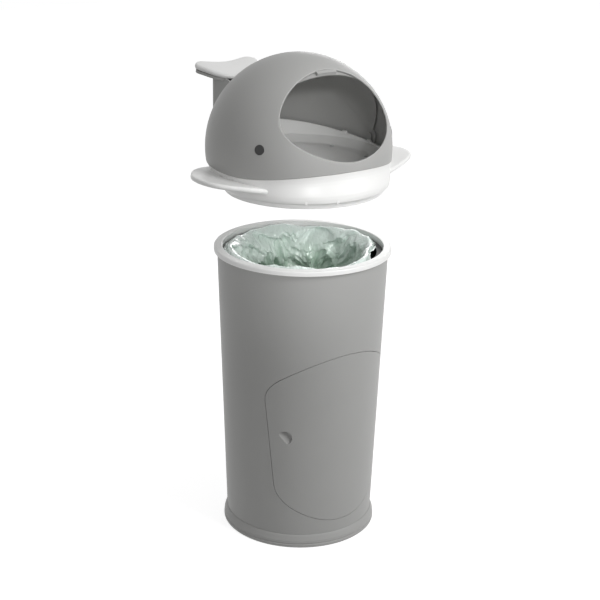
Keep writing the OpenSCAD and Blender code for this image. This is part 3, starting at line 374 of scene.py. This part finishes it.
# Head tray: white bowl under the dome, with a skirt that drops into the collar, a floor
# ring, four posts for the funnel and a wall that leans out to meet the dome's lower edge.
skirt_drop = 0.008
shoulder_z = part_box("head_tray")[0][2] + skirt_drop
seam_rise = 0.0335
dome_r = 0.151
wall_t = 0.0028
dome_centre = np.array([0.0, 0.016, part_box("dome")[1][2] - dome_r])
seam_turn_y = -0.13 * dome_r


def seam_height(y):
    """Height of the joint between dome and tray: level at the sides, higher to the front
    and a little higher to the back, each by a power of the distance."""
    front_y, back_y = dome_centre[1] - dome_r, dome_centre[1] + dome_r
    front = np.clip((seam_turn_y - y) / (seam_turn_y - front_y), 0.0, None) ** 1.7
    back = np.clip((y - seam_turn_y) / (back_y - seam_turn_y), 0.0, None) ** 1.6
    return shoulder_z + seam_rise + 0.0145 * front + 0.008 * back


def rounded(section, radius, steps=4):
    """Each corner of closed sections gives way to a curve between two points at most
    radius from it: the corner is the curve's control point."""
    before = np.roll(section, 1, axis=1) - section
    after = np.roll(section, -1, axis=1) - section
    reach_a = np.linalg.norm(before, axis=-1, keepdims=True)
    reach_b = np.linalg.norm(after, axis=-1, keepdims=True)
    start = section + before / reach_a * np.minimum(radius, 0.45 * reach_a)
    end = section + after / reach_b * np.minimum(radius, 0.45 * reach_b)
    t = np.linspace(0.0, 1.0, steps)[None, None, :, None]
    curve = (1 - t) ** 2 * start[:, :, None] + 2 * t * (1 - t) * section[:, :, None]
    curve += t * t * end[:, :, None]
    return curve.reshape(section.shape[0], -1, 3)


skirt_r = 0.129
tray_r0 = skirt_r + 3 * wall_t
tray_z0 = shoulder_z + 1.1 * wall_t
wall_out_shares = [0.0, 0.24, 0.4, 0.56, 0.75, 1.0]
wall_up_shares = [0.0, 0.2, 0.4, 0.6, 0.8, 1.0]


def tray_wall(around, up, inset):
    """Points of the tray's wall: a circle whose radius and centre move with height from
    the shoulder's ring to the dome's lower edge, drawn in by inset."""
    seam_z = seam_height(dome_centre[1] + dome_r * np.sin(around))
    seam_r = np.sqrt(dome_r ** 2 - (seam_z - dome_centre[2]) ** 2)
    top_r = seam_r - 0.0003
    top_z = seam_height(dome_centre[1] + (top_r - inset) * np.sin(around)) - 0.0003
    out = np.interp(up, wall_up_shares, wall_out_shares)
    r = tray_r0 + (top_r - tray_r0) * out - inset
    back = dome_centre[1] * up * up * (3 - 2 * up)
    z = tray_z0 + (top_z - tray_z0) * up
    return np.stack([r * np.cos(around), back + r * np.sin(around), z], axis=-1)


def tray_surface():
    """Closed sections round the axis: skirt, shoulder, wall up and down, floor ring."""
    columns = 432
    around = np.linspace(0.0, 2.0 * np.pi, columns, endpoint=False)

    def ring(r, z):
        return np.stack([r * np.cos(around), r * np.sin(around), np.full(columns, z)], axis=-1)

    # The floor ring is notched at the back, where the falling flap's arms pass
    floor_w, notch_reach, notch_half_w = 0.034, 0.106, 0.032
    inner_r = skirt_r - floor_w
    notch_y = notch_reach / np.maximum(np.sin(around), 0.05)
    notch_x = notch_half_w / np.maximum(np.abs(np.cos(around)), 0.05)
    notch_r = np.maximum(inner_r, np.minimum(notch_y, notch_x))
    floor_r = np.where(np.sin(around) > 0.0, notch_r, inner_r)
    skirt_inner_r = skirt_r - wall_t
    skirt_z = shoulder_z - skirt_drop
    loops = [ring(skirt_r, skirt_z), ring(skirt_r, shoulder_z)]
    loops += [ring(skirt_r + 2 * wall_t, shoulder_z)]
    loops += [tray_wall(around, up, 0.0) for up in np.linspace(0.0, 1.0, 9)]
    loops += [tray_wall(around, up, wall_t) for up in np.linspace(1.0, 0.2, 8)]
    loops += [ring(tray_r0 - wall_t, tray_z0 + wall_t)]
    loops += [ring(floor_r, tray_z0 + wall_t), ring(floor_r, tray_z0)]
    loops += [ring(skirt_inner_r, tray_z0), ring(skirt_inner_r, skirt_z)]
    edge_r = 0.0011
    sections = rounded(np.stack(loops, axis=1), edge_r)
    return sections, ring_faces(columns, sections.shape[1], closed_rows=True)


def tube_points(foot, length, profile_r, columns=28):
    """A solid of revolution about an upright axis: pairs of radius and share of length."""
    around = np.linspace(0.0, 2.0 * np.pi, columns, endpoint=False)
    rows = [
        np.stack([foot[0] + r * np.cos(around), foot[1] + r * np.sin(around),
                  np.full(columns, foot[2] + share * length)], axis=-1)
        for r, share in profile_r
    ]
    return np.array(rows)


def joined(parts):
    """Several grids of points and their faces as one mesh."""
    points, faces, count = [], [], 0
    for grid, squares in parts:
        flat = np.asarray(grid).reshape(-1, 3)
        points.append(flat)
        faces += [[corner + count for corner in square] for square in squares]
        count += len(flat)
    return np.vstack(points), faces


tray_parts = [tray_surface()]
funnel_r = 0.1415
post_r, post_h = 1.8 * wall_t, 0.0283
post_ring_r, post_turn = 0.785 * funnel_r, math.radians(25)
for side_x in (-1, 1):
    for side_y in (-1, 1):
        foot = (
            side_x * math.cos(post_turn) * post_ring_r,
            dome_centre[1] + side_y * math.sin(post_turn) * post_ring_r,
            tray_z0 + 0.001,
        )
        post = tube_points(foot, post_h, [
            (post_r / 3, 1.0), (0.9 * post_r, 1.0), (post_r, 0.98),
            (post_r, 0.05), (post_r, 0.0), (post_r / 3, 0.0),
        ])
        tray_parts.append((post, ring_faces(6, 28, closed_rows=True)))
make_piece("tray", *joined(tray_parts), white, "head", "white_plastic", ["head_tray"])


# Skirt keys: two short ribs moulded on the tray's shoulder, at the whale's right front.
# They find the collar's notches when the head comes down.
def soft_block(middle, half, turn, power=0.22, columns=32, rows=17):
    """A block with rounded edges: a ball whose sines and cosines are raised to a low
    power, stretched to the half sizes, turned about Z and moved to its middle."""
    lat = np.linspace(-np.pi / 2, np.pi / 2, rows)[:, None]
    lon = np.linspace(0.0, 2 * np.pi, columns, endpoint=False)[None, :]

    def bent(x):
        return np.where(np.abs(x) < 1e-9, 0.0, np.sign(x) * np.abs(x) ** power)

    x = half[0] * bent(np.cos(lat)) * bent(np.cos(lon))
    y = half[1] * bent(np.cos(lat)) * bent(np.sin(lon))
    z = half[2] * bent(np.sin(lat)) * np.ones_like(lon)
    grid = np.stack([
        middle[0] + x * math.cos(turn) - y * math.sin(turn),
        middle[1] + x * math.sin(turn) + y * math.cos(turn),
        middle[2] + z,
    ], axis=-1)
    return grid, ring_faces(rows, columns)


keys = []
key_r, key_z = skirt_r + 0.0050, shoulder_z + 0.0059
key_half = (0.0042, 0.0022, 0.0055)
for degrees in (-123.5, -102.5):
    turn = math.radians(degrees)
    keys.append(soft_block((key_r * math.cos(turn), key_r * math.sin(turn), key_z), key_half, turn))
make_piece("skirt_keys", *joined(keys), white, "head", "white_plastic")


# Funnel and flap: light grey moulding inside the head that guides a nappy to the throat.
# Four small clips on the funnel's rim snap over the tray's wall.
pale = moulded("funnel_plastic", (0.80, 0.80, 0.79), 0.36, drift=0.01)
finish_nodes("funnel_plastic", pale)
clips = []
clip_r, clip_half = 0.1408, (0.0022, 0.0042, 0.0032)
rim_z = shoulder_z + 1.45 * seam_rise
for degrees in (21.9, -1.6, 158.1, 181.6):
    turn = math.radians(degrees)
    y = dome_centre[1] + clip_r * math.sin(turn)
    rise = 0.128 * dome_r * max((y - seam_turn_y) / dome_r, 0.0) ** 2
    place = (clip_r * math.cos(turn), y, rim_z + rise - 0.0005)
    clips.append(soft_block(place, clip_half, turn))
make_piece("rim_clips", *joined(clips), pale, "head", "funnel_plastic")


# Dome: grey shell of even wall, cut by the mouth along a raised axis and by the seam below.
# Its section from mouth edge to seam is one closed loop with both edges fully rounded.
def dome_surface():
    """The mouth's outline is an ellipse whose sine and cosine are raised to a power a little
    over one. Through each of its points a great circle runs from the mouth's axis on to the
    seam, which is found by halving. The section goes out along the outer face, round the
    edge, and back along the inner face."""
    columns = 432
    tilt = math.radians(35.0)
    axis = np.array([0.0, -math.cos(tilt), math.sin(tilt)])
    up = np.array([0.0, math.sin(tilt), math.cos(tilt)])
    side = np.array([1.0, 0.0, 0.0])
    a = np.linspace(0.0, 2 * np.pi, columns, endpoint=False)
    bend = 2 / 1.83
    half_w_share, half_h_share, drop = 0.657, 0.5046, 0.0044
    mouth_x = half_w_share * dome_r * np.sign(np.cos(a)) * np.abs(np.cos(a)) ** bend
    mouth_y = half_h_share * dome_r * np.sign(np.sin(a)) * np.abs(np.sin(a)) ** bend - drop
    reach = np.hypot(mouth_x, mouth_y)
    course = (mouth_x[:, None] * side + mouth_y[:, None] * up) / reach[:, None]
    middle_r = dome_r - wall_t / 2
    start = np.arcsin(reach / middle_r)

    def place(radius, angle):
        return dome_centre + radius[..., None] * (
            np.cos(angle)[..., None] * axis + np.sin(angle)[..., None] * course[:, None]
        )

    low, high = start.copy(), np.full(columns, np.pi - 0.02)
    for _ in range(44):
        half = (low + high) / 2
        point = place(np.full((columns, 1), middle_r), half[:, None])[:, 0]
        above = point[:, 2] > seam_height(point[:, 1])
        low, high = np.where(above, half, low), np.where(above, high, half)
    end = low
    edge = wall_t / 2
    trim = edge / middle_r
    run = np.linspace(0.0, 1.0, 61)
    bow = np.linspace(0.0, np.pi, 9)[1:-1]
    first = (start + trim)[:, None]
    last = (end - trim)[:, None]
    outer = first + (last - first) * run
    ends = last + trim * np.sin(bow)
    starts = first - trim * np.sin(bow[::-1])
    angle = np.hstack([outer, ends, outer[:, ::-1], starts])
    radius = np.hstack([
        np.full(len(run), middle_r + edge), middle_r + edge * np.cos(bow),
        np.full(len(run), middle_r - edge), middle_r + edge * np.cos(bow[::-1]),
    ])
    points = place(np.broadcast_to(radius, angle.shape), angle)
    return points, ring_faces(columns, angle.shape[1], closed_rows=True)


make_piece("dome_shell", *dome_surface(), grey, "head", "grey_shell", ["dome"])


# Eyes: black buttons pressed into the dome, gently crowned, with a rounded rim.
# Each stands just under a millimetre proud and ends a little inside the dome's face.
def capped(grid):
    """Squares between the rows of a grid, with its first and its last row closed."""
    rows, columns = grid.shape[:2]
    first_row = list(range(columns))
    return ring_faces(rows, columns) + [first_row, [(rows - 1) * columns + j for j in first_row]]


eye_mat = moulded("eye_black", (0.016, 0.016, 0.016), 0.30, drift=0.004, grain=0.1)
eye_r = 0.008
across, lift = math.radians(58.4), math.radians(9.8)
for name, side in (("left_eye", 1), ("right_eye", -1)):
    out = np.array([
        side * math.sin(across) * math.cos(lift), -math.cos(across) * math.cos(lift), math.sin(lift)
    ])
    level = np.array([math.cos(across), side * math.sin(across), 0.0])
    rise = np.cross(level, out)
    share = np.array([0.02, 0.25, 0.5, 0.7, 0.84, 0.93, 0.98, 1.0, 1.0, 1.0])
    proud = np.array([0.95, 0.94, 0.90, 0.84, 0.76, 0.66, 0.52, 0.34, 0.05, -0.4]) * 0.001
    around = np.linspace(0.0, 2 * np.pi, 64, endpoint=False)
    flat = eye_r * share[:, None, None] * (
        np.cos(around)[None, :, None] * level + np.sin(around)[None, :, None] * rise
    )
    depth = np.sqrt(dome_r ** 2 - (eye_r * share) ** 2) + proud
    button = dome_centre + flat + depth[:, None, None] * out
    make_piece(name + "_button", button, capped(button), eye_mat, "head", "eye_black", [name])


# Fins: white blades screwed to the tray's wall, flat with full round edges and a soft crown.
# Each root ends inside the tray's wall, so no gap shows round it.
def pillow(outline, middle, half_t, crown, inner_rings=9):
    """Rings of one outline: at its edge they turn through a half circle of the blade's
    half thickness, then close in on the middle over a face raised a little by crown."""
    spokes = outline - middle
    length = np.linalg.norm(spokes, axis=1, keepdims=True)
    unit = spokes / length
    turn = np.linspace(0.0, np.pi / 2, 7)
    edge_gap = half_t * (1 - np.cos(turn))
    edge_z = half_t * np.sin(turn)
    inner = np.linspace(1.0, 0.04, inner_rings)[1:]
    rings, heights = [], []
    for gap, z in zip(edge_gap, edge_z):
        rings.append(middle + unit * (length - gap))
        heights.append(np.full(len(outline), z))
    for share in inner:
        rings.append(middle + unit * (length - half_t) * share)
        heights.append(np.full(len(outline), half_t + crown * (1 - share * share)))
    rings, heights = np.array(rings), np.array(heights)
    plan = np.concatenate([rings[::-1], rings[1:]])
    z = np.concatenate([heights[::-1], -heights[1:]])
    return np.concatenate([plan, z[..., None]], axis=-1)


fin_shares = [
    (1.0, -0.366), (0.962, -0.041), (0.918, 0.268), (0.869, 0.561), (0.809, 0.805), (0.721, 0.951),
    (0.601, 1.0), (0.481, 0.935), (0.366, 0.74), (0.262, 0.528), (0.175, 0.268), (0.109, -0.008),
    (0.055, -0.333), (0.02, -0.6),
]
shell_top_r = 0.1405
fin_len, fin_front, fin_rear, fin_t = 0.0615, 0.073, 0.110, 0.0085
fin_rise, fin_slope, fin_crown = 0.017, math.tan(math.radians(9.0)), 0.0006
fin_middle = np.array([0.150, 0.012])
fin_root = [(0.108, 0.075), (0.105, 0.035), (0.105, -0.01), (0.108, -0.045), (0.112, -0.066)]
fin_edge = smooth_line([
    (shell_top_r + out * fin_len, fin_rear - along * (fin_rear + fin_front))
    for along, out in fin_shares
], 6)
wall_h, root_sink = 0.0304, 0.0014
for name, side in (("left_fin", 1), ("right_fin", -1)):
    grid = pillow(np.vstack([fin_edge, fin_root]), fin_middle, fin_t / 2, fin_crown)
    x, y = grid[..., 0], grid[..., 1]
    z = shoulder_z + fin_rise + fin_t / 2 + (x - shell_top_r) * fin_slope + grid[..., 2]
    wall_up = np.clip((z - tray_z0) / wall_h, 0.0, 1.0)
    seam_r = math.sqrt(dome_r ** 2 - (shoulder_z + seam_rise - dome_centre[2]) ** 2)
    wall_out = np.interp(wall_up, wall_up_shares, wall_out_shares)
    wall_r = tray_r0 + (seam_r - tray_r0) * wall_out - root_sink
    back = dome_centre[1] * wall_up * wall_up * (3 - 2 * wall_up)
    # The root follows the tray's wall, just behind its face
    wall_x = np.sqrt(np.clip(wall_r ** 2 - (y - back) ** 2, 0.0, None))
    x = np.maximum(x, wall_x)
    blade = np.stack([side * x, y, z], axis=-1)
    make_piece(name + "_blade", blade, capped(blade), white, "head", "white_plastic", [name])


# Tail: grey hollow stem behind the dome and a white fluke cover clipped on top of it.
# The cover is a thick blade with two lobes that rise a little from its middle.
fluke_shares = [
    (0, 0), (0.2, 0.02), (0.39, 0.09), (0.55, 0.17), (0.69, 0.28), (0.81, 0.42), (0.91, 0.6),
    (0.985, 0.73), (1, 0.8), (0.97, 0.87), (0.88, 0.955), (0.75, 1), (0.58, 0.985), (0.35, 0.955),
    (0.15, 0.94), (0, 0.935),
]
fluke_half_w, fluke_len, fluke_t = 0.0615, 0.077, 0.0095
fluke_crown, lobe_rise, fluke_rise = 0.0004, 0.0065, 0.155
fluke_front = dome_centre[1] + dome_r + 0.007
half = smooth_line([(x * fluke_half_w, (y - 0.5) * fluke_len) for x, y in fluke_shares], 5)
loop = np.vstack([half, half[-2:0:-1] * (-1, 1)])
grid = pillow(loop, np.array([0.0, 0.001]), fluke_t / 2, fluke_crown)
dish = (grid[..., 0] / fluke_half_w) ** 2
grid[..., 2] += lobe_rise * dish * (1.0 - 0.5 * dish) - 0.0012
tilt = math.radians(11.3)
low_y, low_z = grid[..., 1], grid[..., 2] - fluke_t / 2
fluke = np.stack([
    grid[..., 0],
    fluke_front + fluke_len / 2 + low_y * math.cos(tilt) - low_z * math.sin(tilt),
    shoulder_z + fluke_rise + low_y * math.sin(tilt) + low_z * math.cos(tilt),
], axis=-1)
make_piece("fluke_cover", fluke, capped(fluke), white, "head", "white_plastic", ["tail_cover"])


# Plain studio: a large soft lamp to the right of the camera, and a low one and a rear one
# that shine in under the raised head. Two narrow beams from beside the camera light the
# mouth and the bag. The surroundings look white, and so does the floor, which keeps the shadow.
def add_light(data, place, aim):
    """A lamp at its place, turned so that it shines at its aim."""
    lamp = bpy.data.objects.new(data.name, data)
    bpy.context.scene.collection.objects.link(lamp)
    lamp.location = place
    lamp.rotation_mode = "QUATERNION"
    lamp.rotation_quaternion = (Vector(aim) - Vector(place)).to_track_quat("-Z", "Y")


for name, place, aim, size, power in (
    ("key", (0.60, -1.65, 1.85), (0.0, 0.0, 0.45), 0.9, 25.5),
    ("low", (1.25, -1.70, 0.86), (0.0, 0.0, 0.47), 0.6, 4.5),
    ("rear", (1.35, 1.45, 0.84), (-0.05, -0.03, 0.46), 0.6, 4.5),
):
    area = bpy.data.lights.new(name, "AREA")
    area.shape = "RECTANGLE"
    area.size = size
    area.size_y = size
    area.energy = power
    add_light(area, place, aim)

for name, place, aim, spread, power in (
    ("mouth_beam", (-0.85, -2.15, 1.50), (0.03, -0.02, 0.725), 6.5, 108.0),
    ("bag_beam", (-1.00, -2.10, 1.05), (0.0, 0.05, 0.485), 7.0, 100.0),
):
    spot = bpy.data.lights.new(name, "SPOT")
    spot.energy = power
    spot.spot_size = math.radians(spread)
    spot.spot_blend = 1.0
    spot.shadow_soft_size = 0.12
    add_light(spot, place, aim)


def seen_directly(tree):
    """1 for what the camera sees straight, in a reflection or through a clear wall."""
    path = tree.nodes.new("ShaderNodeLightPath")
    first = tree.nodes.new("ShaderNodeMath")
    first.operation = "MAXIMUM"
    second = tree.nodes.new("ShaderNodeMath")
    second.operation = "MAXIMUM"
    tree.links.new(path.outputs["Is Camera Ray"], first.inputs[0])
    tree.links.new(path.outputs["Is Glossy Ray"], first.inputs[1])
    tree.links.new(first.outputs[0], second.inputs[0])
    tree.links.new(path.outputs["Is Transmission Ray"], second.inputs[1])
    return second.outputs[0]


world = bpy.data.worlds.new("world")
bpy.context.scene.world = world
world.use_nodes = True
# The surroundings are white to the camera and give the scene less light than that
sky = world.node_tree.nodes["Background"]
sky.inputs["Color"].default_value = (1.0, 1.0, 1.0, 1.0)
level = world.node_tree.nodes.new("ShaderNodeMapRange")
level.inputs["To Min"].default_value = 0.40
level.inputs["To Max"].default_value = 1.0
world.node_tree.links.new(seen_directly(world.node_tree), level.inputs["Value"])
world.node_tree.links.new(level.outputs["Result"], sky.inputs["Strength"])

# Grey paint takes light and shadow. Where it is seen, a glow lifts it to white
floor_mesh = bpy.data.meshes.new("floor")
floor_half, floor_z = 6.0, -0.0005
corners = [(x * floor_half, y * floor_half, floor_z) for x, y in ((-1, -1), (1, -1), (1, 1), (-1, 1))]
floor_mesh.from_pydata(corners, [], [(0, 1, 2, 3)])
floor = bpy.data.objects.new("floor", floor_mesh)
bpy.context.scene.collection.objects.link(floor)
floor_mat = bpy.data.materials.new("floor")
floor_mat.use_nodes = True
tree = floor_mat.node_tree
paint = tree.nodes["Principled BSDF"]
paint.inputs["Base Color"].default_value = (0.50, 0.50, 0.50, 1.0)
paint.inputs["Roughness"].default_value = 0.9
glow = tree.nodes.new("ShaderNodeEmission")
both = tree.nodes.new("ShaderNodeAddShader")
faint = tree.nodes.new("ShaderNodeMapRange")
faint.inputs["To Max"].default_value = 0.78
tree.links.new(seen_directly(tree), faint.inputs["Value"])
tree.links.new(faint.outputs["Result"], glow.inputs["Strength"])
tree.links.new(paint.outputs["BSDF"], both.inputs[0])
tree.links.new(glow.outputs["Emission"], both.inputs[1])
tree.links.new(both.outputs["Shader"], tree.nodes["Material Output"].inputs["Surface"])
floor.data.materials.append(floor_mat)
bpy.context.scene.view_settings.view_transform = "Standard"
